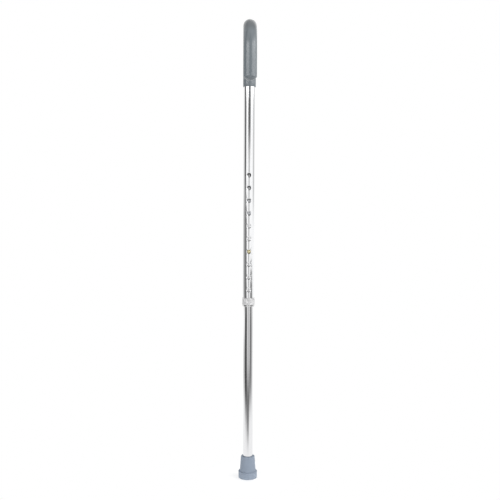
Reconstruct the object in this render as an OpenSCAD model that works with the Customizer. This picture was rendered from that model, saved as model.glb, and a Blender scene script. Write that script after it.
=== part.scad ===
// Height-adjustable walking cane with a crook handle.
// Millimetres, +Z up. The origin is the middle of the ferrule's foot, on the shaft's axis.
// The crook points to -Y, and so do the row of height holes and the snap button.

/* [Tubes] */
// Outer diameter of the upper tube, which is bent into the crook
upper_od = 22.2; // [19:0.1:28]
// Wall of the upper tube
upper_wall = 1.3; // [1:0.05:1.6]
// Straight length of the upper tube, from its lower end to the start of the bend
upper_straight = 479; // [400:0.5:620]
// Radial gap between the lower tube and the inside of the upper tube
slide_gap = 0.275; // [0.1:0.025:0.4]
// Wall of the lower tube
lower_wall = 1.2; // [1:0.05:1.5]
// Length of the lower tube
lower_length = 501.4; // [410:0.1:620]
// Chamfer on the cut ends of both tubes
tube_chamfer = 0.3; // [0.1:0.05:0.4]

/* [Crook] */
// Radius of the bend, along the middle of the tube
crook_r = 58; // [44:0.5:72]
// Straight length of the tube beyond the bend
crook_leg = 49.5; // [20:0.5:90]

/* [Grip] */
// Thickness of the vinyl sleeve
sleeve_wall = 1.67; // [1:0.01:3]
// How far the sleeve reaches down the shaft below the start of the bend
sleeve_back = 47; // [20:0.5:100]
// Thickness of the sleeve's closed end, at its middle
sleeve_end = 6.2; // [3:0.1:8]
// Height of the dome on the sleeve's closed end
sleeve_dome = 7; // [2:0.1:10]
// Gap between the sleeve and the tube
sleeve_gap = 0.03; // [0.01:0.01:0.1]

/* [Height holes] */
// Distance from one height hole to the next
hole_pitch = 25.4; // [20:0.1:32]
// Number of height holes
hole_count = 10; // [5:1:11]
// Height of the lowest hole above the lower end of the upper tube
first_hole = 27.1; // [22:0.1:40]
// Which hole the button stands in, counted from the lowest
set_hole = 4; // [1:1:10]

/* [Snap button] */
// Diameter of the button
button_d = 7; // [5:0.1:8.5]
// Radial gap round the button in both tubes
button_gap = 0.2; // [0.1:0.05:0.3]
// How far the button stands proud of the upper tube
button_proud = 1.8; // [1:0.1:3]
// Height of the button's domed end
dome_h = 1.7; // [1:0.1:2.5]
// Distance from the top of the lower tube to the button
button_inset = 63.7; // [40:0.1:90]
// How far the flange behind the button reaches past it
flange_lip = 1.25; // [0.8:0.05:1.5]
// Thickness of the flange
flange_t = 0.8; // [0.5:0.1:1.2]

/* [Leaf spring] */
// Thickness of the spring strip
strip_t = 0.6; // [0.4:0.05:0.8]
// Width of the spring strip
strip_w = 7.5; // [6:0.1:9]
// Middle radius of the bend at the foot of the spring
spring_bend = 2; // [1.5:0.1:3]
// Lean of each leg of the spring from upright, in degrees
spring_lean = 8; // [6:0.5:12]
// Length of the straight pad that carries the button
pad_length = 14; // [12:0.5:20]
// Length of the straight foot that bears on the back of the tube
heel_length = 7; // [4:0.5:12]
// Diameter of the tail that rivets the button to the strip
tail_d = 3; // [2:0.1:3.5]

/* [Lock collar] */
// Height of the collar
collar_h = 17.5; // [15:0.1:22]
// How far the tightened collar reaches up past the lower end of the upper tube
collar_over = 11.1; // [9:0.1:13]
// Wall of the collar round the thread
collar_wall = 1.35; // [1.2:0.05:2.5]
// Radial gap between the collar and the crests of the thread
thread_gap = 0.05; // [0.02:0.01:0.1]
// Distance from one turn of the thread to the next
thread_pitch = 1; // [0.75:0.05:1.25]
// Depth of the thread
thread_depth = 0.4; // [0.25:0.05:0.5]
// Height of the collar's lip, which closes round the lower tube
lip_h = 1.6; // [1:0.1:2.5]
// Radial gap between that lip and the lower tube
lip_gap = 0.25; // [0.1:0.05:0.4]
// Number of grooves in the knurl
knurl_count = 48; // [24:1:60]
// Depth of the knurl's grooves
knurl_depth = 0.4; // [0.2:0.05:0.5]
// Height of the bright bevel at the foot of the collar
bevel_low = 3.2; // [2:0.1:4]
// Height of the bright bevel at the top of the collar
bevel_high = 1.1; // [0.6:0.1:2]

/* [Clamp ring] */
// Radial gap between the split ring and the lower tube
ring_gap = 0.06; // [0.03:0.01:0.12]
// Radial gap between the split ring and the inside of the collar
ring_play = 0.15; // [0.08:0.01:0.3]
// Width of the split in the ring
ring_split = 1.5; // [0.8:0.1:3]

/* [Ferrule] */
// Height of the ferrule
ferrule_h = 43; // [36:0.5:60]
// Height of the wide foot of the ferrule
foot_h = 13.3; // [8:0.1:18]
// Thickness of the rubber under the steel disc
sole_t = 12; // [8:0.1:18]
// Thickness of the rubber round the tube, at the top
lip_t = 4; // [2.5:0.1:6]
// How much wider the cone is at its foot than at its top, on the radius
cone_flare = 2.4; // [1:0.1:4]
// How far the wide foot stands out from the cone, on the radius
foot_step = 2.7; // [1:0.1:5]
// Rounding of the foot's lower edge
foot_round = 1.8; // [0.5:0.1:3]
// How tight the rubber grips the tube, on the radius
ferrule_bite = 0.1; // [0.02:0.01:0.3]
// Number of grooves in the tread
tread_count = 3; // [1:1:4]
// Distance from one tread groove to the next
tread_pitch = 3.6; // [3:0.1:4]
// Width of a tread groove
tread_w = 1.4; // [1:0.1:2]
// Depth of a tread groove
tread_depth = 1.5; // [0.5:0.1:3]

/* [Steel disc] */
// Thickness of the steel disc under the tube
disc_t = 1.6; // [1:0.1:3]
// How far the disc reaches past the tube
disc_over = 0.5; // [0.2:0.1:1.5]

/* [Hidden] */
$fn = 96;
eps = 0.01;       // lets a cut pass its face
ring_seat = 0.02; // gap between the ring and the tube end that it bears on

// Radii
upper_r = upper_od / 2;
upper_ir = upper_r - upper_wall;
lower_r = upper_ir - slide_gap;
lower_ir = lower_r - lower_wall;
sleeve_ir = upper_r + sleeve_gap;
sleeve_r = sleeve_ir + sleeve_wall;
button_r = button_d / 2;
hole_r = button_r + button_gap;
flange_r = button_r + flange_lip;

// Heights, from the foot up
tube_foot = sole_t + disc_t;
lower_top = tube_foot + lower_length;
button_z = lower_top - button_inset;
upper_end = button_z - first_hole - (set_hole - 1) * hole_pitch;
bend_z = upper_end + upper_straight;
leg_end = bend_z - crook_leg;
grip_low = bend_z - sleeve_back;
grip_tip = leg_end - sleeve_gap - sleeve_end;
leg_y = -2 * crook_r;

// Collar and ring, from the foot of the tightened collar
collar_z = upper_end + collar_over - collar_h;
bore_r = upper_r + thread_gap;
collar_r = bore_r + collar_wall;
lip_r = lower_r + lip_gap;
ring_ir = lower_r + ring_gap;
ring_r = bore_r - ring_play;
ring_toe = 0.2; // flat toe at the foot of the ring's cone
ring_foot = lip_h + ring_ir + ring_toe - lip_r + ring_play;
ring_top = collar_h - collar_over - ring_seat;
thread_turns = floor((collar_over - thread_pitch) / thread_pitch);

// Button and spring, measured out from the shaft's axis
flange_s = sqrt(pow(lower_ir, 2) - pow(flange_r, 2)) - 0.03;
button_top = upper_r + button_proud;
dome_r = (pow(button_r, 2) + pow(dome_h, 2)) / (2 * dome_h);
pad_s = flange_s - flange_t;             // front face of the pad
heel_s = sqrt(pow(lower_ir, 2) - pow(strip_w / 2, 2)) - 0.03;
tail_gap = 0.05;
rivet_r = tail_d / 2 + 0.8;
rivet_t = 0.6;

// A round arc as a list of points, about (cx, cy)
function arc(cx, cy, r, a0, a1, n = 8) =
    [for (i = [0:n]) [cx + r * cos(a0 + (a1 - a0) * i / n), cy + r * sin(a0 + (a1 - a0) * i / n)]];

// A rod or tube core of radius r along the shaft, round the bend and down the leg
module crook_path(r, shaft_from, leg_to) {
    translate([0, 0, shaft_from]) cylinder(r = r, h = bend_z - shaft_from);
    translate([0, -crook_r, bend_z]) rotate([90, 0, 90])
        rotate_extrude(angle = 180) translate([crook_r, 0]) circle(r = r);
    translate([0, leg_y, leg_to]) cylinder(r = r, h = bend_z - leg_to);
}

// A cone that breaks the outer edge of a tube end of radius r; up = 1 at a top end, -1 at a foot
module end_chamfer(r, z, up) {
    translate([0, 0, z]) mirror([0, 0, up > 0 ? 0 : 1]) rotate_extrude()
        polygon([[r - tube_chamfer, eps], [r + eps, eps], [r + eps, -tube_chamfer]]);
}

module upper_tube() {
    color([0.86, 0.87, 0.88])
    difference() {
        crook_path(upper_r, upper_end, leg_end);
        crook_path(upper_ir, upper_end - eps, leg_end - eps);
        end_chamfer(upper_r, upper_end, -1);
        for (i = [0:hole_count - 1])
            translate([0, 0, upper_end + first_hole + i * hole_pitch])
                rotate([90, 0, 0]) cylinder(r = hole_r, h = upper_r + 1);
        for (i = [1:thread_turns])
            translate([0, 0, upper_end + i * thread_pitch]) rotate_extrude()
                polygon([
                    [upper_r - thread_depth, 0],
                    [upper_r + eps, -thread_depth * 0.7],
                    [upper_r + eps, thread_depth * 0.7]
                ]);
    }
}

module grip_sleeve() {
    tip_r = (pow(sleeve_r, 2) + pow(sleeve_dome, 2)) / (2 * sleeve_dome);
    tip_a = asin(sleeve_r / tip_r);
    color([0.50, 0.53, 0.55])
    difference() {
        union() {
            crook_path(sleeve_r, grip_low, grip_tip + sleeve_dome);
            translate([0, leg_y, grip_tip]) rotate_extrude()
                polygon(concat(
                    [[0, 0]],
                    arc(0, tip_r, tip_r, tip_a / 8 - 90, tip_a - 90, 7),
                    [[0, sleeve_dome]]
                ));
        }
        crook_path(sleeve_ir, grip_low - eps, leg_end - sleeve_gap);
    }
}

module lower_tube() {
    color([0.82, 0.83, 0.85])
    difference() {
        translate([0, 0, tube_foot]) cylinder(r = lower_r, h = lower_length);
        translate([0, 0, tube_foot - eps]) cylinder(r = lower_ir, h = lower_length + 2 * eps);
        end_chamfer(lower_r, tube_foot, -1);
        end_chamfer(lower_r, lower_top, 1);
        translate([0, 0, button_z]) rotate([90, 0, 0]) cylinder(r = hole_r, h = lower_r + 1);
    }
}

module snap_button() {
    rivet_s = pad_s - strip_t - tail_gap - rivet_t; // inner end of the riveted tail
    dome_a = asin((dome_r - dome_h) / dome_r);
    dome_steps = 8;
    color([0.80, 0.74, 0.46])
    translate([0, 0, button_z]) rotate([90, 0, 0]) rotate_extrude() polygon(concat(
        [[0, rivet_s], [rivet_r, rivet_s], [rivet_r, rivet_s + rivet_t]],
        [[tail_d / 2, rivet_s + rivet_t], [tail_d / 2, pad_s]],
        [[flange_r, pad_s], [flange_r, flange_s], [button_r, flange_s]],
        arc(0, button_top - dome_r, dome_r, dome_a, 90 - (90 - dome_a) / dome_steps, dome_steps - 1),
        [[0, button_top]]
    ));
}

// Strip of the leaf spring from (y, z), long upwards, leaning out by lean degrees
module strip(y, z, long, lean) {
    translate([-strip_w / 2, y, z]) rotate([lean, 0, 0]) translate([0, -strip_t / 2, 0])
        cube([strip_w, strip_t, long]);
}

// Round fold where two straight strips meet
module fold(y, z) {
    translate([-strip_w / 2, y, z]) rotate([0, 90, 0]) cylinder(d = strip_t, h = strip_w);
}

module button_spring() {
    pad_y = -(pad_s - strip_t / 2);
    heel_y = heel_s - strip_t / 2;
    mid_y = (pad_y + heel_y) / 2;
    leg = ((heel_y - pad_y) / 2 - spring_bend * cos(spring_lean)) / sin(spring_lean);
    pad_z = button_z - pad_length / 2;
    bend_cz = pad_z - leg * cos(spring_lean) + spring_bend * sin(spring_lean);
    tangent_y = spring_bend * cos(spring_lean);
    tangent_z = bend_cz - spring_bend * sin(spring_lean);
    color([0.60, 0.62, 0.66])
    difference() {
        union() {
            strip(pad_y, pad_z, pad_length, 0);
            fold(pad_y, pad_z);
            strip(mid_y - tangent_y, tangent_z, leg, spring_lean);
            strip(mid_y + tangent_y, tangent_z, leg, -spring_lean);
            fold(heel_y, pad_z);
            strip(heel_y, pad_z, heel_length, 0);
            translate([-strip_w / 2, mid_y, bend_cz]) rotate([0, 90, 0]) rotate([0, 0, spring_lean - 90])
                rotate_extrude(angle = 180 - 2 * spring_lean)
                    translate([spring_bend - strip_t / 2, 0]) square([strip_t, strip_w]);
        }
        translate([0, 0, button_z]) rotate([90, 0, 0]) cylinder(r = tail_d / 2 + tail_gap, h = pad_s + 1);
    }
}

module lock_collar() {
    bevel_in = 1.2;                     // how far the bright bevels run in, on the radius
    knurl_side = knurl_depth * sqrt(2); // a square on its corner cuts each groove
    color([0.80, 0.80, 0.82])
    translate([0, 0, collar_z]) difference() {
        rotate_extrude() polygon(concat(
            [[lip_r, 0]],
            [for (i = [0:6]) [collar_r - bevel_in * (1 - sin(15 * i)), bevel_low * (1 - cos(15 * i))]],
            [[collar_r, collar_h - bevel_high], [collar_r - bevel_in * 0.7, collar_h]],
            [[bore_r, collar_h], [bore_r, lip_h + bore_r - lip_r], [lip_r, lip_h]]
        ));
        for (i = [0:knurl_count - 1])
            rotate([0, 0, 360 * i / knurl_count]) translate([collar_r, 0, -eps]) rotate([0, 0, 45])
                translate([-knurl_side / 2, -knurl_side / 2, 0])
                    cube([knurl_side, knurl_side, collar_h + 2 * eps]);
    }
}

module clamp_ring() {
    color([0.93, 0.93, 0.90])
    translate([0, 0, collar_z]) difference() {
        rotate_extrude() polygon([
            [ring_ir, ring_foot],
            [ring_ir + ring_toe, ring_foot],
            [ring_r, ring_foot + ring_r - ring_ir - ring_toe],
            [ring_r, ring_top],
            [ring_ir, ring_top]
        ]);
        translate([-ring_split / 2, 0, 0]) cube([ring_split, bore_r + 1, collar_h]);
    }
}

module ferrule() {
    top_r = lower_r + lip_t;
    cone_r = top_r + cone_flare;
    foot_r = cone_r + foot_step;
    bore = lower_r - ferrule_bite;
    lip_round = 1.2;  // rounding of the top rim
    step_round = 0.8; // rounding of the foot's upper edge
    mouth = 0.6;      // widening at the mouth of the bore
    color([0.58, 0.63, 0.69])
    difference() {
        rotate_extrude() polygon(concat(
            [[0, 0]],
            arc(foot_r - foot_round, foot_round, foot_round, -90, 0),
            arc(foot_r - step_round, foot_h - step_round, step_round, 0, 90, 5),
            [[cone_r, foot_h]],
            arc(top_r - lip_round, ferrule_h - lip_round, lip_round, 0, 90, 6),
            [[bore + mouth, ferrule_h], [bore, ferrule_h - mouth], [bore, tube_foot]],
            [[lower_r + disc_over, tube_foot], [lower_r + disc_over, sole_t], [0, sole_t]]
        ));
        for (i = [1:tread_count])
            translate([0, 0, -eps]) difference() {
                cylinder(r = i * tread_pitch + tread_w, h = tread_depth + eps);
                translate([0, 0, -eps]) cylinder(r = i * tread_pitch, h = tread_depth + 3 * eps);
            }
    }
}

module ferrule_disc() {
    color([0.66, 0.67, 0.69])
    translate([0, 0, sole_t]) cylinder(r = lower_r + disc_over, h = disc_t);
}

upper_tube();
grip_sleeve();
lower_tube();
snap_button();
button_spring();
lock_collar();
clamp_ring();
ferrule();
ferrule_disc();
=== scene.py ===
"""Looks of an adjustable crook-handled walking cane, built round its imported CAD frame."""
import math

import bpy
from mathutils import Matrix, Vector


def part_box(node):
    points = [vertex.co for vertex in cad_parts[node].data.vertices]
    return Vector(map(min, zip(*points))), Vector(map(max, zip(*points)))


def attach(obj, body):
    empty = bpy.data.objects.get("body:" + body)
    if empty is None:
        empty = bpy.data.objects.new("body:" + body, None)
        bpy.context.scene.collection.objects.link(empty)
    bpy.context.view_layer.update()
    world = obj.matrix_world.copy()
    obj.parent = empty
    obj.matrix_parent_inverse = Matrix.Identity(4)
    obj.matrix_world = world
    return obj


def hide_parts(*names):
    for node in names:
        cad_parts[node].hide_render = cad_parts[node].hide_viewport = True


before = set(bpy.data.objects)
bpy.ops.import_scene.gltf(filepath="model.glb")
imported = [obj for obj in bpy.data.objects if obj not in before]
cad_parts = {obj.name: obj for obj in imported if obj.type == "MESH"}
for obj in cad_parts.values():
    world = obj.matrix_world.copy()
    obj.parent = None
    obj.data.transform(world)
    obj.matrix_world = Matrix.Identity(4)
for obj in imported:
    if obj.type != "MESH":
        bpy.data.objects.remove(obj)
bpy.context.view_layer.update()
MM = 0.001

# ---------------------------------------------------------------- sizes, from the frame
UPPER_LO, UPPER_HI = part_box("upper_tube")
SLEEVE_LO, SLEEVE_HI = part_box("grip_sleeve")
LOWER_LO, LOWER_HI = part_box("lower_tube")
BUTTON_LO, BUTTON_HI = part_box("snap_button")
COLLAR_LO, COLLAR_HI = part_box("lock_collar")
FERRULE_LO, FERRULE_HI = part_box("ferrule")

UPPER_R = (UPPER_HI.x - UPPER_LO.x) / 2
CROOK_R = (-UPPER_LO.y - UPPER_R) / 2
BEND_Z = UPPER_HI.z - UPPER_R - CROOK_R
SLEEVE_R = (SLEEVE_HI.x - SLEEVE_LO.x) / 2
LOWER_R = (LOWER_HI.x - LOWER_LO.x) / 2
BUTTON_Z = (BUTTON_LO.z + BUTTON_HI.z) / 2

UPPER_WALL = 1.3 * MM
LOWER_WALL = 1.2 * MM
TUBE_CHAMFER = 0.3 * MM
CROOK_LEG = 49.5 * MM
HOLE_R = 3.7 * MM
HOLE_PITCH = 25.4 * MM
HOLE_COUNT = 10
FIRST_HOLE = 27.1 * MM
HOLE_EDGE = 0.22 * MM  # rounding of each drilled edge
ROLL_R = 5.4 * MM      # round each hole, buffing has rolled the surface in, out to this radius
ROLL_DEPTH = 0.22 * MM
THREAD_PITCH = 1 * MM
THREAD_DEPTH = 0.4 * MM
THREAD_LENGTH = 10.3 * MM
SLEEVE_GAP = 0.03 * MM
SLEEVE_BACK = 47 * MM
SLEEVE_DOME = 7 * MM
SLEEVE_HEM = 0.5 * MM  # rounding of the sleeve's open edge
BEVEL_LOW = 3.4 * MM   # bright bands at the collar's foot and top
BEVEL_HIGH = 1.1 * MM


# ---------------------------------------------------------------- mesh helpers
def make_object(name, verts, faces, sharp_deg=32):
    """A mesh object with smooth shading, sharp only where faces meet at more than sharp_deg."""
    mesh = bpy.data.meshes.new(name)
    mesh.from_pydata([tuple(v) for v in verts], [], faces)
    mesh.validate()
    mesh.polygons.foreach_set("use_smooth", [True] * len(mesh.polygons))
    mesh.set_sharp_from_angle(angle=math.radians(sharp_deg))
    mesh.update()
    obj = bpy.data.objects.new(name, mesh)
    bpy.context.scene.collection.objects.link(obj)
    return obj


def arc(cx, cy, r, a0, a1, n=8):
    """Points along a round arc, both ends included, angles in degrees."""
    angles = [math.radians(a0 + (a1 - a0) * i / n) for i in range(n + 1)]
    return [(cx + r * math.cos(a), cy + r * math.sin(a)) for a in angles]


def lathe(name, profile, columns, radius_at=None, sharp_deg=32):
    """Turns a closed outline of (radius, height) points round Z. Points on the axis become one
    vertex. radius_at(r, z, angle) may change the radius from column to column."""
    verts, rings = [], []
    for r, z in profile:
        if r < 1e-9:
            rings.append([len(verts)] * columns)
            verts.append((0, 0, z))
            continue
        ring = []
        for c in range(columns):
            a = 2 * math.pi * c / columns
            rr = radius_at(r, z, a) if radius_at else r
            ring.append(len(verts))
            verts.append((rr * math.sin(a), -rr * math.cos(a), z))
        rings.append(ring)
    faces = []
    closed = profile[0][0] > 1e-9
    pairs = list(zip(rings, rings[1:])) + ([(rings[-1], rings[0])] if closed else [])
    for low, high in pairs:
        for c in range(columns):
            d = (c + 1) % columns
            corners = [low[c], low[d], high[d], high[c]]
            face = [v for i, v in enumerate(corners) if v != corners[i - 1]]
            if len(face) > 2:
                faces.append(face)
    return make_object(name, verts, faces, sharp_deg)


def shaft_stations(z_values):
    """Cross-sections up a straight shaft: centre of each, and the direction that is +Y on it."""
    return [(Vector((0, 0, z)), Vector((0, 1, 0))) for z in z_values]


BEND_STEPS = 48  # cross-sections round the crook
LEG_STEPS = 4    # and down its free leg


def crook_stations(leg_to):
    """Cross-sections round the crook's bend, after its start, and down the free leg to leg_to."""
    found = []
    for i in range(1, BEND_STEPS + 1):
        a = math.pi * i / BEND_STEPS
        out = Vector((0, math.cos(a), math.sin(a)))
        found.append((Vector((0, -CROOK_R, BEND_Z)) + out * CROOK_R, out))
    for i in range(1, LEG_STEPS + 1):
        z = BEND_Z + (leg_to - BEND_Z) * i / LEG_STEPS
        found.append((Vector((0, -2 * CROOK_R, z)), Vector((0, -1, 0))))
    return found


def on_ring(station, angle, r):
    """The point at an angle on a cross-section. Angle 0 is the side that faces -Y on the shaft."""
    centre, out = station
    return centre + Vector((1, 0, 0)) * (r * math.sin(angle)) - out * (r * math.cos(angle))


PATCH_SIDE = 12          # cells along each side of the square patch that holds a drilled hole
PATCH_HALF = 6.2 * MM    # half the height of that patch
PATCH_RINGS = 5          # rings from the edge of the rolled-in zone to the hole
REST_COLUMNS = 64        # columns round the rest of the tube
ROW_GAP = 12 * MM        # most that two rows may be apart


def tube_columns(r_out):
    """Angles of the columns: even across the drilled patch at the front, even round the rest."""
    side = math.asin(PATCH_HALF / r_out)
    front = [
        math.asin(PATCH_HALF * (2 * k / PATCH_SIDE - 1) / r_out) for k in range(PATCH_SIDE + 1)
    ]
    gap = (2 * math.pi - 2 * side) / REST_COLUMNS
    return front + [side + gap * k for k in range(1, REST_COLUMNS)]


def patch_edge(rows, first_row):
    """Grid vertices round a patch's square edge, anticlockwise from its top right corner."""
    n = PATCH_SIDE
    top, left = rows[first_row + n], [rows[first_row + n - k][0] for k in range(n)]
    bottom, right = rows[first_row], [rows[first_row + k][n] for k in range(n)]
    return [top[n - k] for k in range(n)] + left + [bottom[k] for k in range(n)] + right


def drilled_tube(name, stations, r_out, wall, hole_z, r_at=None):
    """A tube along the stations with round holes drilled in from -Y at the heights hole_z.
    Each hole has a rounded edge. r_at(height, angle) gives the outer radius where it varies."""
    columns = tube_columns(r_out)
    n_col, n = len(columns), PATCH_SIDE
    verts, faces, rims = [], [], {}
    heights = [s[0].z for s in stations]
    first_rows = [min(range(len(stations)), key=lambda i: abs(heights[i] - (z - PATCH_HALF)))
                  for z in hole_z]
    r_in = r_out - wall

    def add(p):
        verts.append(Vector(p))
        return len(verts) - 1

    for inside in (False, True):
        grid = []
        for i, station in enumerate(stations):
            row = []
            for j, angle in enumerate(columns):
                in_patch = any(f < i < f + n for f in first_rows) and 0 < j < n
                r = r_in if inside else (r_at(station[0].z, angle) if r_at else r_out)
                row.append(None if in_patch else add(on_ring(station, angle, r)))
            grid.append(row)
        for i in range(len(stations) - 1):
            for j in range(n_col):
                k = (j + 1) % n_col
                if any(f <= i < f + n for f in first_rows) and j < n:
                    continue
                face = [grid[i][j], grid[i][k], grid[i + 1][k], grid[i + 1][j]]
                faces.append(face[::-1] if inside else face)
        r = r_in if inside else r_out
        hole_r = HOLE_R if inside else HOLE_R + HOLE_EDGE
        for z, first in zip(hole_z, first_rows):
            outer = patch_edge(grid, first)
            ring = outer
            for step in range(PATCH_RINGS + 1):
                ring_r = ROLL_R + (hole_r - ROLL_R) * step / PATCH_RINGS
                sunk = 0 if inside else ROLL_DEPTH * (step / PATCH_RINGS) ** 2
                new = []
                for k in range(len(outer)):
                    a = math.radians(45) + 2 * math.pi * k / len(outer)
                    x = ring_r * math.cos(a)
                    new.append(add((x, sunk - math.sqrt(r * r - x * x), z + ring_r * math.sin(a))))
                for k in range(len(outer)):
                    m = (k + 1) % len(outer)
                    face = [ring[k], ring[m], new[m], new[k]]
                    faces.append(face if not inside else face[::-1])
                ring = new
            rims[(z, inside)] = ring
        if not inside:
            outer_grid = grid
    inner_grid = grid

    for z in hole_z:
        outer, inner = rims[(z, False)], rims[(z, True)]
        ring = outer
        for turn in (30, 60, 90):
            t = math.radians(turn)
            new = []
            for k in range(len(outer)):
                a = math.radians(45) + 2 * math.pi * k / len(outer)
                rr = HOLE_R + HOLE_EDGE * (1 - math.sin(t))
                x = rr * math.cos(a)
                sunk = ROLL_DEPTH + HOLE_EDGE * (1 - math.cos(t))
                new.append(add((x, -math.sqrt(r_out ** 2 - x * x) + sunk, z + rr * math.sin(a))))
            for k in range(len(outer)):
                m = (k + 1) % len(outer)
                faces.append([ring[k], ring[m], new[m], new[k]])
            ring = new
        for k in range(len(outer)):
            m = (k + 1) % len(outer)
            faces.append([ring[k], ring[m], inner[m], inner[k]])

    for at, flip in ((0, False), (-1, True)):
        station = stations[at]
        beyond = stations[1 if at == 0 else -2][0]
        along = (station[0] - beyond).normalized()
        tip = (station[0] + along * TUBE_CHAMFER, station[1])
        r_face = verts[outer_grid[at][n]] - station[0]
        outer_r = min(r_out, r_face.length) - TUBE_CHAMFER
        cap_out = [add(on_ring(tip, a, outer_r)) for a in columns]
        cap_in = [add(on_ring(tip, a, r_in)) for a in columns]
        loops = (outer_grid[at], cap_out, cap_in, inner_grid[at])
        for near, far in zip(loops, loops[1:]):
            for j in range(n_col):
                k = (j + 1) % n_col
                face = [near[j], far[j], far[k], near[k]]
                faces.append(face[::-1] if flip else face)
    return make_object(name, verts, faces)


def rows_with_patches(z0, z1, hole_z, extra=()):
    """Heights of the rows from z0 to z1: PATCH_SIDE rows across each hole, wider ones between."""
    marks = {round(z, 7) for z in (z0, z1, *extra)}
    for z in hole_z:
        marks |= {round(z - PATCH_HALF + 2 * PATCH_HALF * k / PATCH_SIDE, 7)
                  for k in range(PATCH_SIDE + 1)}
    rows = sorted(marks)
    filled = [rows[0]]
    for a, b in zip(rows, rows[1:]):
        parts = max(1, math.ceil((b - a) / ROW_GAP))
        filled += [a + (b - a) * k / parts for k in range(1, parts + 1)]
    return filled


# ---------------------------------------------------------------- node helpers
class Nodes:
    """Short forms for building a node tree."""

    def __init__(self, tree):
        self.tree = tree

    def new(self, kind, inputs=None, **settings):
        node = self.tree.nodes.new(kind)
        for key, value in settings.items():
            setattr(node, key, value)
        for key, value in (inputs or {}).items():
            self.put(node.inputs[key], value)
        return node

    def put(self, socket, value):
        if isinstance(value, bpy.types.NodeSocket):
            self.tree.links.new(value, socket)
        else:
            socket.default_value = value

    def math(self, operation, a, b=0.0, c=0.0):
        node = self.new("ShaderNodeMath", operation=operation)
        for socket, value in zip(node.inputs, (a, b, c)):
            self.put(socket, value)
        return node.outputs[0]

    def span(self, value, low, high, out_low=0.0, out_high=1.0):
        """Goes smoothly from out_low to out_high as value goes from low to high."""
        node = self.new("ShaderNodeMapRange", interpolation_type="SMOOTHSTEP")
        parts = (value, low, high, out_low, out_high)
        for socket, part in zip(node.inputs, parts):
            self.put(socket, part)
        return node.outputs[0]

    def mix(self, share, a, b):
        node = self.new("ShaderNodeMix", data_type="RGBA")
        for index, value in ((0, share), (6, a), (7, b)):
            self.put(node.inputs[index], value)
        return node.outputs[2]

    def noise(self, where, scale, detail=3.0, roughness=0.5):
        inputs = {"Vector": where, "Scale": scale, "Detail": detail, "Roughness": roughness}
        return self.new("ShaderNodeTexNoise", inputs).outputs["Fac"]

    def place(self, scale=(1, 1, 1)):
        """Object coordinates in metres, stretched by scale."""
        where = self.new("ShaderNodeTexCoord").outputs["Object"]
        return self.new("ShaderNodeMapping", {"Vector": where, "Scale": scale}).outputs[0]

    def height(self):
        where = self.new("ShaderNodeTexCoord").outputs["Object"]
        return self.new("ShaderNodeSeparateXYZ", {"Vector": where}).outputs["Z"]

    def from_axis(self):
        """Distance from the shaft's axis."""
        where = self.new("ShaderNodeTexCoord").outputs["Object"]
        x, y, _ = self.new("ShaderNodeSeparateXYZ", {"Vector": where}).outputs
        square = self.math("ADD", self.math("MULTIPLY", x, x), self.math("MULTIPLY", y, y))
        return self.math("SQRT", square)


def start_material(name, **fixed):
    """A new material. fixed sets the shader's own sockets to values that are the same all over."""
    material = bpy.data.materials.new(name)
    material.use_nodes = True
    tree = material.node_tree
    shader = tree.nodes["Principled BSDF"]
    for key, value in fixed.items():
        shader.inputs[key.replace("_", " ")].default_value = value
    return material, Nodes(tree), shader


def add_bump(nodes, shader, height, strength, distance):
    inputs = {"Height": height, "Strength": strength, "Distance": distance}
    nodes.put(shader.inputs["Normal"], nodes.new("ShaderNodeBump", inputs).outputs[0])


def wear(obj, material):
    """Gives an object one material in every slot."""
    obj.data.materials.clear()
    obj.data.materials.append(material)
    return obj


# ---------------------------------------------------------------- materials
def tube_metal(name, tint, roughness, bore_r, scuff=None):
    """Polished, clear-anodised aluminium tube: fine lines drawn along it, light handling marks,
    a bore inside bore_r with lower roughness, and where scuff gives two heights, a band rubbed
    by the lock collar between them."""
    material, nodes, shader = start_material(name, Metallic=1.0)
    drawn = nodes.noise(nodes.place((2600, 2600, 6)), 1.0, 4.0, 0.6)
    smudge = nodes.noise(nodes.place((26, 26, 9)), 1.0, 3.0, 0.55)
    rough = nodes.math("ADD", nodes.span(smudge, 0.35, 0.75, roughness, roughness + 0.04),
                       nodes.span(drawn, 0.3, 0.8, 0.0, 0.02))
    shade = nodes.span(smudge, 0.4, 0.8, 0.0, 0.5)
    if scuff:
        rings = nodes.noise(nodes.place((40, 40, 2400)), 1.0, 2.0, 0.5)
        z = nodes.height()
        band = nodes.math("MULTIPLY", nodes.span(z, scuff[0] - 0.02, scuff[0]),
                          nodes.span(z, scuff[1], scuff[1] + 0.02, 1.0, 0.0))
        rubbed = nodes.math("MULTIPLY", band, nodes.span(rings, 0.55, 0.75))
        rough = nodes.math("ADD", rough, nodes.math("MULTIPLY", rubbed, 0.04))
        shade = nodes.math("ADD", shade, nodes.math("MULTIPLY", rubbed, 0.5))
    inside = nodes.span(nodes.from_axis(), bore_r + 0.1 * MM, bore_r - 0.1 * MM)
    rough = nodes.math("MULTIPLY", rough, nodes.span(inside, 0, 1, 1.0, 0.4))
    nodes.put(shader.inputs["Roughness"], rough)
    dull = tuple(c * 0.93 for c in tint[:3]) + (1.0,)
    nodes.put(shader.inputs["Base Color"], nodes.mix(shade, tint, dull))
    add_bump(nodes, shader, drawn, 0.05, 0.00001)
    return material


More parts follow.
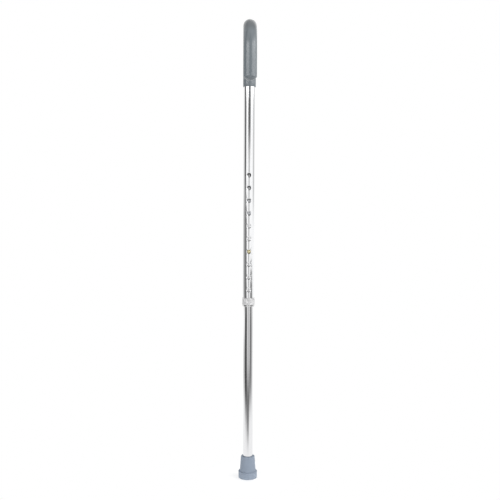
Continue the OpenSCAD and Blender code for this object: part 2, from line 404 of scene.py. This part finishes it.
def vinyl(name):
    """Soft grey vinyl sleeve: faint pebbling, slow unevenness where it was pulled over the tube,
    a crown painted darker as painted shade, and more polished where the hand rests on it."""
    material, nodes, shader = start_material(
        name, IOR=1.5, Coat_Weight=0.1, Coat_Roughness=0.15, Specular_IOR_Level=0.5)
    slow = nodes.noise(nodes.place((30, 30, 16)), 1.0, 3.0, 0.5)
    pebble = nodes.noise(nodes.place((1500, 1500, 1500)), 1.0, 2.0, 0.5)
    pull = nodes.noise(nodes.place((240, 240, 24)), 1.0, 2.0, 0.5)
    z = nodes.height()
    # Painted shade: the crown of the crook is mixed toward a darker colour, standing in for the
    # dim light from above. The same mask lowers the roughness there.
    crown_shade_and_polish = nodes.span(z, SLEEVE_HI.z - 0.036, SLEEVE_HI.z - 0.018)
    deep, pale = (0.155, 0.178, 0.195, 1.0), (0.167, 0.191, 0.208, 1.0)
    painted_crown_shade = (0.098, 0.112, 0.122, 1.0)
    body = nodes.mix(nodes.span(slow, 0.3, 0.7), deep, pale)
    # Mixes the painted crown shade into the body colour.
    color = nodes.mix(nodes.math("MULTIPLY", crown_shade_and_polish, 0.9), body, painted_crown_shade)
    nodes.put(shader.inputs["Base Color"], color)
    rough = nodes.math("ADD", nodes.span(slow, 0.3, 0.7, 0.20, 0.23),
                       nodes.span(pebble, 0.3, 0.7, 0.0, 0.01))
    rough = nodes.math("SUBTRACT", rough, nodes.math("MULTIPLY", crown_shade_and_polish, 0.05))
    nodes.put(shader.inputs["Roughness"], rough)
    relief = nodes.math("MULTIPLY", pull, 0.75)
    relief = nodes.math("ADD", nodes.math("MULTIPLY", pebble, 0.25), relief)
    add_bump(nodes, shader, relief, 0.04, 0.00004)
    return material


def rubber(name):
    """Blue-grey moulded rubber: a fine matt skin, a slight bloom, and scuffing near the floor."""
    material, nodes, shader = start_material(name, IOR=1.5, Specular_IOR_Level=0.35)
    bloom = nodes.noise(nodes.place((55, 55, 55)), 1.0, 4.0, 0.55)
    skin = nodes.noise(nodes.place((2200, 2200, 2200)), 1.0, 3.0, 0.55)
    scrape = nodes.noise(nodes.place((160, 160, 900)), 1.0, 3.0, 0.6)
    z = nodes.height()
    low = nodes.span(z, 0.004, 0.0005)
    floor_wear = nodes.math("MULTIPLY", low, nodes.span(scrape, 0.45, 0.65))
    deep, pale = (0.238, 0.282, 0.350, 1.0), (0.256, 0.301, 0.370, 1.0)
    worn = (0.20, 0.235, 0.275, 1.0)
    body = nodes.mix(nodes.span(bloom, 0.3, 0.7), deep, pale)
    color = nodes.mix(nodes.math("MULTIPLY", floor_wear, 0.6), body, worn)
    nodes.put(shader.inputs["Base Color"], color)
    nodes.put(shader.inputs["Roughness"], nodes.span(skin, 0.3, 0.7, 0.52, 0.66))
    add_bump(nodes, shader, skin, 0.12, 0.00003)
    return material


def turned_metal(name, tint, roughness, groove_scale=3200, bump=0.15, bright=()):
    """Metal with fine turning lines round Z, and slightly uneven polish. bright lists the
    (foot, head) heights of bands that are polished."""
    material, nodes, shader = start_material(name, Metallic=1.0)
    lines = nodes.noise(nodes.place((30, 30, groove_scale)), 1.0, 3.0, 0.55)
    patch = nodes.noise(nodes.place((180, 180, 180)), 1.0, 3.0, 0.5)
    rough = nodes.math("ADD", nodes.span(lines, 0.3, 0.7, roughness, roughness + 0.05),
                       nodes.span(patch, 0.35, 0.7, 0.0, 0.05))
    z = nodes.height()
    edge = 0.2 * MM
    for foot, head in bright:
        inside = nodes.math("MULTIPLY", nodes.span(z, foot - edge, foot + edge),
                            nodes.span(z, head + edge, head - edge))
        rough = nodes.math("MULTIPLY", rough, nodes.span(inside, 0, 1, 1.0, 0.16))
    nodes.put(shader.inputs["Roughness"], rough)
    dull = tuple(c * 0.88 for c in tint[:3]) + (1.0,)
    nodes.put(shader.inputs["Base Color"], nodes.mix(nodes.span(patch, 0.35, 0.75), tint, dull))
    add_bump(nodes, shader, lines, bump, 0.00002)
    return material


def plated_button(name):
    """Yellow-plated button, rubbed paler on its crown where it meets the edges of the holes."""
    material, nodes, shader = start_material(name, Metallic=1.0)
    patch = nodes.noise(nodes.place((700, 700, 700)), 1.0, 4.0, 0.55)
    y = nodes.new("ShaderNodeSeparateXYZ",
                  {"Vector": nodes.new("ShaderNodeTexCoord").outputs["Object"]}).outputs["Y"]
    crown = nodes.span(y, BUTTON_LO.y + 0.0009, BUTTON_LO.y)
    yellow, brown = (0.52, 0.45, 0.22, 1.0), (0.36, 0.30, 0.15, 1.0)
    pale = (0.72, 0.68, 0.50, 1.0)
    body = nodes.mix(nodes.span(patch, 0.35, 0.7), yellow, brown)
    color = nodes.mix(nodes.math("MULTIPLY", crown, 0.7), body, pale)
    nodes.put(shader.inputs["Base Color"], color)
    nodes.put(shader.inputs["Roughness"], nodes.span(patch, 0.3, 0.7, 0.22, 0.38))
    add_bump(nodes, shader, patch, 0.15, 0.00003)
    return material


def nylon(name):
    """White moulded nylon, slightly translucent-looking, with flow marks."""
    material, nodes, shader = start_material(name, IOR=1.53, Subsurface_Weight=0.15,
                                             Subsurface_Scale=0.001)
    flow = nodes.noise(nodes.place((300, 300, 900)), 1.0, 3.0, 0.5)
    deep, pale = (0.80, 0.80, 0.76, 1.0), (0.86, 0.86, 0.83, 1.0)
    nodes.put(shader.inputs["Base Color"], nodes.mix(nodes.span(flow, 0.3, 0.7), deep, pale))
    nodes.put(shader.inputs["Roughness"], nodes.span(flow, 0.3, 0.7, 0.34, 0.46))
    add_bump(nodes, shader, flow, 0.15, 0.00003)
    return material


UPPER_TINT = (0.905, 0.910, 0.920, 1.0)
LOWER_TINT = (0.80, 0.80, 0.81, 1.0)
COLLAR_BANDS = (
    (COLLAR_LO.z - MM, COLLAR_LO.z + BEVEL_LOW),
    (COLLAR_HI.z - BEVEL_HIGH, COLLAR_HI.z + MM),
)
MATERIALS = {
    "upper": tube_metal("polished_upper", UPPER_TINT, 0.07, UPPER_R - UPPER_WALL / 2),
    "lower": tube_metal("polished_lower", LOWER_TINT, 0.045, LOWER_R - LOWER_WALL / 2,
                        scuff=(COLLAR_LO.z - 0.16, COLLAR_LO.z)),
    "grip": vinyl("grey_vinyl"),
    "rubber": rubber("grey_rubber"),
    "collar": turned_metal("satin_collar", (0.75, 0.75, 0.755, 1.0), 0.50, bump=0.05,
                           bright=COLLAR_BANDS),
    "button": plated_button("yellow_button"),
    "spring": turned_metal("spring_steel", (0.60, 0.61, 0.64, 1.0), 0.28, 900, 0.1),
    "disc": turned_metal("zinc_disc", (0.66, 0.67, 0.69, 1.0), 0.34, 900, 0.1),
    "nylon": nylon("white_nylon"),
}


# ---------------------------------------------------------------- pieces
def make_upper_tube():
    z0 = UPPER_LO.z + TUBE_CHAMFER
    holes = [UPPER_LO.z + FIRST_HOLE + i * HOLE_PITCH for i in range(HOLE_COUNT)]
    thread_rows = [UPPER_LO.z + TUBE_CHAMFER + THREAD_PITCH / 8 * i
                   for i in range(int(THREAD_LENGTH / THREAD_PITCH * 8) + 1)]
    rows = rows_with_patches(z0, BEND_Z, holes, extra=thread_rows)
    stations = shaft_stations(rows) + crook_stations(BEND_Z - CROOK_LEG + TUBE_CHAMFER)

    def threaded(z, angle):
        """Outer radius: a right-hand V thread at the lower end, fading out at its top."""
        if z > UPPER_LO.z + THREAD_LENGTH:
            return UPPER_R
        turn = ((z - UPPER_LO.z) / THREAD_PITCH - angle / (2 * math.pi)) % 1
        depth = THREAD_DEPTH * (1 - abs(2 * turn - 1)) * 1.15
        fade = min(1.0, (UPPER_LO.z + THREAD_LENGTH - z) / (1.5 * THREAD_PITCH))
        return UPPER_R - min(depth, THREAD_DEPTH) * fade

    tube = drilled_tube("bent_upper_tube", stations, UPPER_R, UPPER_WALL, holes, threaded)
    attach(wear(tube, MATERIALS["upper"]), "upper_shaft")
    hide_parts("upper_tube")


def make_lower_tube():
    rows = rows_with_patches(LOWER_LO.z + TUBE_CHAMFER, LOWER_HI.z - TUBE_CHAMFER, [BUTTON_Z])
    stations = shaft_stations(rows)
    tube = drilled_tube("telescoping_lower_tube", stations, LOWER_R, LOWER_WALL, [BUTTON_Z])
    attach(wear(tube, MATERIALS["lower"]), "lower_shaft")
    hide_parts("lower_tube")


def make_grip():
    """Vinyl sleeve: open at the shaft with a rounded hem, closed and rounded at the free leg."""
    columns = 96
    r_in = UPPER_R + SLEEVE_GAP
    hem_z = BEND_Z - SLEEVE_BACK
    inner_tip = BEND_Z - CROOK_LEG - SLEEVE_GAP
    angles = [2 * math.pi * c / columns for c in range(columns)]
    verts, rings = [], []

    def ring(station, r):
        rings.append([len(verts) + c for c in range(columns)])
        verts.extend(on_ring(station, a, r) for a in angles)

    shaft = [hem_z + SLEEVE_HEM + (BEND_Z - hem_z - SLEEVE_HEM) * i / 8 for i in range(9)]
    for station in reversed(crook_stations(inner_tip)):
        ring(station, r_in)
    for station in reversed(shaft_stations(shaft)):
        ring(station, r_in)
    for r, z in arc(r_in + SLEEVE_HEM, hem_z + SLEEVE_HEM, SLEEVE_HEM, 225, 270, 3):
        ring(shaft_stations([z])[0], r)
    for r, z in arc(SLEEVE_R - SLEEVE_HEM, hem_z + SLEEVE_HEM, SLEEVE_HEM, 270, 360, 5):
        ring(shaft_stations([z])[0], r)
    for station in shaft_stations(shaft[1:]):
        ring(station, SLEEVE_R)
    for station in crook_stations(SLEEVE_LO.z + SLEEVE_DOME):
        ring(station, SLEEVE_R)
    down = Vector((0, -1, 0))
    dome_r = (SLEEVE_R ** 2 + SLEEVE_DOME ** 2) / (2 * SLEEVE_DOME)
    dome_a = math.degrees(math.asin(SLEEVE_R / dome_r))
    for r, z in arc(0, SLEEVE_LO.z + dome_r, dome_r, dome_a - 90, -90, 14)[1:-1]:
        ring((Vector((0, -2 * CROOK_R, z)), down), r)
    faces = []
    for low, high in zip(rings, rings[1:]):
        for c in range(columns):
            d = (c + 1) % columns
            faces.append([low[c], low[d], high[d], high[c]])
    for at, z, flip in ((0, inner_tip, True), (-1, SLEEVE_LO.z, False)):
        middle = len(verts)
        verts.append(Vector((0, -2 * CROOK_R, z)))
        for c in range(columns):
            face = [rings[at][c], rings[at][(c + 1) % columns], middle]
            faces.append(face[::-1] if flip else face)
    sleeve = make_object("vinyl_grip", verts, faces)
    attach(wear(sleeve, MATERIALS["grip"]), "upper_shaft")
    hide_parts("grip_sleeve")


def make_collar():
    """Knurled collar: grooves cut along it, a bright bevel at each end, an open bore inside."""
    grooves, per_groove = 48, 8
    depth = 0.4 * MM
    r = (COLLAR_HI.x - COLLAR_LO.x) / 2
    height = COLLAR_HI.z - COLLAR_LO.z
    bore, lip = UPPER_R + 0.05 * MM, LOWER_R + 0.25 * MM
    lip_h, bevel_in, shoulder = 1.6 * MM, 1.2 * MM, 0.25 * MM
    edge_w, edge_h = 0.12 * MM, 0.15 * MM  # chamfers of the bore and of the lip
    neck, turn_h = r - depth, 1.5 * MM
    foot = [(neck - (bevel_in - depth) * (1 - math.sin(math.radians(10 * i))),
             turn_h * (1 - math.cos(math.radians(10 * i)))) for i in range(10)]
    foot += [(neck, BEVEL_LOW), (r, BEVEL_LOW + shoulder)]
    band = [(r, BEVEL_LOW + (height - BEVEL_HIGH - BEVEL_LOW) * i / 4) for i in range(1, 4)]
    top_in = r - 0.7 * bevel_in
    outline = foot + band + [
        (r, height - BEVEL_HIGH),
        (top_in + 0.06 * MM, height - 0.08 * MM), (top_in - 0.10 * MM, height),
        (bore + edge_w, height), (bore, height - edge_h),
        (bore, lip_h + bore - lip), (lip, lip_h), (lip, edge_h), (lip + edge_w, 0.0),
    ]

    def knurled(radius, z, angle):
        if radius <= bore + 0.2 * MM:
            return radius
        share = (angle / (2 * math.pi) * grooves) % 1
        off = min(share, 1 - share) * 2 * math.pi / grooves * r
        return min(radius, r - max(0.0, depth - off))

    collar = lathe("knurled_collar", [(a, COLLAR_LO.z + b) for a, b in outline],
                   grooves * per_groove, knurled, sharp_deg=28)
    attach(wear(collar, MATERIALS["collar"]), "collar")
    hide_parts("lock_collar")


def make_button():
    """Snap button: domed head, flange behind the wall, and a tail riveted over the spring."""
    head_r, tail_r = 3.5 * MM, 1.5 * MM
    flange_r = (BUTTON_HI.z - BUTTON_LO.z) / 2
    dome_h, flange_t, strip_t, rivet_t, play = 1.7 * MM, 0.8 * MM, 0.6 * MM, 0.6 * MM, 0.05 * MM
    top, tail = -BUTTON_LO.y, -BUTTON_HI.y
    flange_back = tail + rivet_t + strip_t + play
    flange_face = flange_back + flange_t
    dome_r = (head_r ** 2 + dome_h ** 2) / (2 * dome_h)
    dome_a = math.degrees(math.asin((dome_r - dome_h) / dome_r))
    dome = arc(0, top - dome_r, dome_r, dome_a + 4, 84, 9)
    edge = 0.12 * MM
    rivet_r = tail_r + 0.8 * MM
    outline = [
        (0, tail), (rivet_r - 2 * edge, tail), (rivet_r, tail + 2 * edge),
        (rivet_r, tail + rivet_t), (tail_r, tail + rivet_t), (tail_r, flange_back),
        (flange_r - edge, flange_back), (flange_r, flange_back + edge),
        (flange_r, flange_face - edge), (flange_r - edge, flange_face),
        (head_r + edge, flange_face), (head_r, flange_face + edge),
        (head_r, top - dome_h - edge), *dome, (0, top),
    ]
    button = lathe("snap_button_head", outline, 56)
    to_front = Matrix.Rotation(math.radians(90), 4, "X")
    button.data.transform(Matrix.Translation((0, 0, BUTTON_Z)) @ to_front)
    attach(wear(button, MATERIALS["button"]), "button")
    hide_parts("snap_button")


def make_ferrule():
    """Moulded ferrule: rounded rim, cone, stepped foot, and a tread of round grooves."""
    foot_r = (FERRULE_HI.x - FERRULE_LO.x) / 2
    top = FERRULE_HI.z
    foot_h, sole, disc_t, disc_over = 13.3 * MM, 12 * MM, 1.6 * MM, 0.5 * MM
    top_r = LOWER_R + 4 * MM
    cone_r = top_r + 2.4 * MM
    bore, mouth, lip_round = LOWER_R + 0.01 * MM, 0.6 * MM, 1.2 * MM
    fillet, bead, foot_round = 0.7 * MM, 0.7 * MM, 1.2 * MM
    wall_r = foot_r - 0.25 * MM
    groove_pitch, groove_w, depth, soft = 3.6 * MM, 1.4 * MM, 1.5 * MM, 0.2 * MM
    tread = [(0, 0)]
    for i in (1, 2, 3):
        near = i * groove_pitch
        far = near + groove_w
        tread += [
            (near - soft, 0), (near, soft), (near + soft / 2, depth - soft),
            (near + 1.5 * soft, depth), (far - 1.5 * soft, depth),
            (far - soft / 2, depth - soft), (far, soft), (far + soft, 0),
        ]
    slope = math.atan2(cone_r - top_r, top - foot_h)
    outline = tread + arc(wall_r - foot_round, foot_round, foot_round, -90, 0, 8)
    outline += [(wall_r, foot_h - 2.6 * bead), (wall_r + 0.1 * MM, foot_h - 2.0 * bead)]
    outline += arc(foot_r - bead, foot_h - bead, bead, -20, 90, 7)
    cone_angle = 180 + math.degrees(slope)
    outline += arc(cone_r + fillet * 0.8, foot_h + fillet, fillet, 270, cone_angle, 6)
    rows = 10
    outline += [(cone_r + (top_r - cone_r) * i / rows, foot_h + (top - foot_h) * i / rows)
                for i in range(2, rows)]
    outline += arc(top_r - lip_round, top - lip_round, lip_round, 8, 90, 7)
    outline += [
        (bore + mouth + 0.1 * MM, top), (bore + 0.25 * MM, top - 0.15 * MM), (bore, top - mouth),
        (bore, sole + disc_t), (LOWER_R + disc_over, sole + disc_t),
        (LOWER_R + disc_over, sole), (0, sole),
    ]

    def parting(radius, z, angle):
        """A fine mould line down both sides of the cone."""
        if not foot_h + 1.2 * MM < z < top - 0.5 * MM or radius < top_r - lip_round:
            return radius
        off = abs(math.sin(angle + math.radians(45))) * radius
        return radius + 0.09 * MM * max(0.0, 1 - off / (0.5 * MM))

    ferrule = lathe("rubber_ferrule", outline, 160, parting)
    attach(wear(ferrule, MATERIALS["rubber"]), "lower_shaft")
    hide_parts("ferrule")


make_upper_tube()
make_lower_tube()
make_grip()
make_collar()
make_button()
make_ferrule()
INNER_PIECES = {"button_spring": "spring", "ferrule_disc": "disc", "clamp_ring": "nylon"}
for node, finish in INNER_PIECES.items():
    wear(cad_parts[node], MATERIALS[finish])


# ---------------------------------------------------------------- studio
# The studio is white all round. Dark flags and bright boxes stand in it, out of the camera's
# sight, and show in what the cane reflects. Angles are in degrees: azimuth from the camera's side
# of the shaft, and elevation. A flag leans when its azimuth changes with elevation.
# left, right, softness at left and at right, foot, head, softness of those, lean, darkness
FLAGS = [
    (-108, -63, 7, 7, 1, 60, 1.5, 0, 0.88),          # tall flag, left
    (-185, -104, 5, 20, -7, 60, 2, 0, 0.26),         # grey drop, far left
    (-185, -104, 5, 20, -7, 1, 1, 0, 0.24),          # wide flag, left
    (-106, -43, 10, 8, -7, 1, 0.8, 0, 0.80),
    (-92, -35, 8, 8, -14.8, -6.4, 1.8, 0, 0.93),     # the same flag, lower down
    (-160, -96, 20, 6, -13.5, -9.5, 1.5, 0, 0.50),
    (-62, -14, 10, 12, -16.1, -12, 2, 0, 0.66),
    (-23, 27, 8, 8, 5.4, 60, 1.1, 0, 0.88),          # the dark room behind the camera
    (-10, 9, 6, 6, -7, 5.2, 1, 0, 0.62),             # the camera's stand
    (-30, 30, 10, 10, -14.5, -7, 1, 0, 0.28),
    (-8, 12, 6, 8, -14.5, -7, 1, 0, 0.26),
    (30, 80, 8, 8, -7, -4.3, 0.8, 0, 0.82),          # low flag, right
    (34, 68, 8, 10, -14.4, -6.6, 1.8, 0, 0.84),
    (66, 106, 8, 12, -14.3, -7, 1.8, 0, 0.55),
    (8, 40, 8, 8, -15, -12, 1, 0, 0.45),
    (-24, 24, 14, 14, -17.1, -13.4, 1.4, 0, 0.77),   # front edge of the white table
    (82, 135, 10, 20, 0.5, 60, 2, 0, 0.42),          # tall flag, right
    (-120, -60, 10, 10, -85, -25, 3, 0, 0.70),       # low flags round the table
    (50, 90, 10, 10, -85, -25, 3, 0, 0.60),
    (140, 176, 10, 4, -85, -25, 3, 0, 0.45),
]
# left, right, softness, foot, head, softness of those, gain
BOXES = [
    (-68, -14, 6, 10.4, 33, 1.5, 3.0),
    (32, 105, 8, 10.4, 33, 1.5, 3.0),
]
CEILING_GREY = 0.75
STUDIO_STRENGTH = 1.06
BOUNCES = 24  # enough for light to find its way out of the drilled, polished tubes


def studio():
    """White surroundings with the flags and boxes above. The camera itself sees plain white."""
    world = bpy.data.worlds.new("studio")
    bpy.context.scene.world = world
    world.use_nodes = True
    nodes = Nodes(world.node_tree)
    world.node_tree.nodes.clear()
    direction = nodes.new("ShaderNodeTexCoord").outputs["Generated"]
    axis = nodes.new("ShaderNodeSeparateXYZ", {"Vector": direction})
    x, y, z = axis.outputs
    azimuth = nodes.math("DEGREES", nodes.math("ARCTAN2", x, nodes.math("MULTIPLY", y, -1.0)))
    elevation = nodes.math("DEGREES", nodes.math("ARCSINE", z))

    def window(left, right, soft_left, soft_right, foot, head, soft, lean):
        at = nodes.math("SUBTRACT", azimuth, nodes.math("MULTIPLY", elevation, lean))
        sides = nodes.math("MULTIPLY", nodes.span(at, left - soft_left, left + soft_left),
                           nodes.span(at, right + soft_right, right - soft_right))
        ends = nodes.math("MULTIPLY", nodes.span(elevation, foot - soft, foot + soft),
                          nodes.span(elevation, head + soft, head - soft))
        return nodes.math("MULTIPLY", sides, ends)

    light = nodes.span(elevation, 30, 50, 1.0, CEILING_GREY)
    for *place, dark in FLAGS:
        kept = nodes.math("SUBTRACT", 1.0, nodes.math("MULTIPLY", window(*place), dark))
        light = nodes.math("MULTIPLY", light, kept)
    for left, right, side_soft, foot, head, soft, gain in BOXES:
        lit = window(left, right, side_soft, side_soft, foot, head, soft, 0.0)
        light = nodes.math("ADD", light, nodes.math("MULTIPLY", lit, gain))
    strength = nodes.math("MULTIPLY", light, STUDIO_STRENGTH)
    lit = nodes.new("ShaderNodeBackground", {"Strength": strength})
    plain = nodes.new("ShaderNodeBackground", {"Strength": 1.0})
    for background in (lit, plain):
        background.inputs["Color"].default_value = (1, 1, 1, 1)
    seen = nodes.new("ShaderNodeLightPath").outputs["Is Camera Ray"]
    both = nodes.new("ShaderNodeMixShader", {0: seen, 1: lit.outputs[0], 2: plain.outputs[0]})
    out = nodes.new("ShaderNodeOutputWorld")
    world.node_tree.links.new(both.outputs[0], out.inputs["Surface"])


FLOOR_RADIUS = 0.09


def make_floor():
    """A round white table top, lit from inside. It shows from above only."""
    material = bpy.data.materials.new("lit_table")
    material.use_nodes = True
    nodes = Nodes(material.node_tree)
    top = material.node_tree.nodes["Principled BSDF"]
    for name, value in (("Base Color", (0.6, 0.6, 0.6, 1.0)), ("Roughness", 0.7),
                        ("Emission Color", (1.0, 1.0, 1.0, 1.0)), ("Emission Strength", 0.5)):
        top.inputs[name].default_value = value
    below = nodes.new("ShaderNodeNewGeometry").outputs["Backfacing"]
    clear = nodes.new("ShaderNodeBsdfTransparent")
    either = nodes.new("ShaderNodeMixShader", {0: below, 1: top.outputs[0], 2: clear.outputs[0]})
    out = material.node_tree.nodes["Material Output"]
    material.node_tree.links.new(either.outputs[0], out.inputs["Surface"])
    rim = [(x, y, 0) for x, y in arc(0, 0, FLOOR_RADIUS, 0, 360, 72)[:-1]]
    wear(make_object("floor", rim, [list(range(len(rim)))]), material)


CAMERA_DISTANCE = 1.450   # from the shaft's axis
CAMERA_HEIGHT = 0.524
CAMERA_AZIMUTH = -0.57
CAMERA_ROLL = 0.268       # degrees
CAMERA_SIDE = 0.0022      # how far the camera stands to its own right of the shaft
CAMERA_LENS = 52.2        # mm, on a 36 mm sensor
CAMERA_SHIFT = -0.07      # lowers the picture's frame, so that a level camera takes in the ferrule


def make_camera():
    turn, roll = math.radians(CAMERA_AZIMUTH), math.radians(CAMERA_ROLL)
    back = Vector((math.sin(turn), -math.cos(turn), 0))
    right = Vector((math.cos(turn), math.sin(turn), 0))
    up = Vector((0, 0, 1))
    rolled_right = right * math.cos(roll) + up * math.sin(roll)
    rolled_up = up * math.cos(roll) - right * math.sin(roll)
    place = back * CAMERA_DISTANCE + right * CAMERA_SIDE + up * CAMERA_HEIGHT
    data = bpy.data.cameras.new("camera")
    data.lens = CAMERA_LENS
    data.shift_y = CAMERA_SHIFT
    camera = bpy.data.objects.new("camera", data)
    axes = Matrix((rolled_right, rolled_up, back)).transposed()
    camera.matrix_world = Matrix.Translation(place) @ axes.to_4x4()
    bpy.context.scene.collection.objects.link(camera)
    bpy.context.scene.camera = camera


studio()
make_floor()
make_camera()
bpy.context.scene.view_settings.view_transform = "Standard"
bpy.context.scene.cycles.max_bounces = BOUNCES
bpy.context.scene.cycles.glossy_bounces = BOUNCES
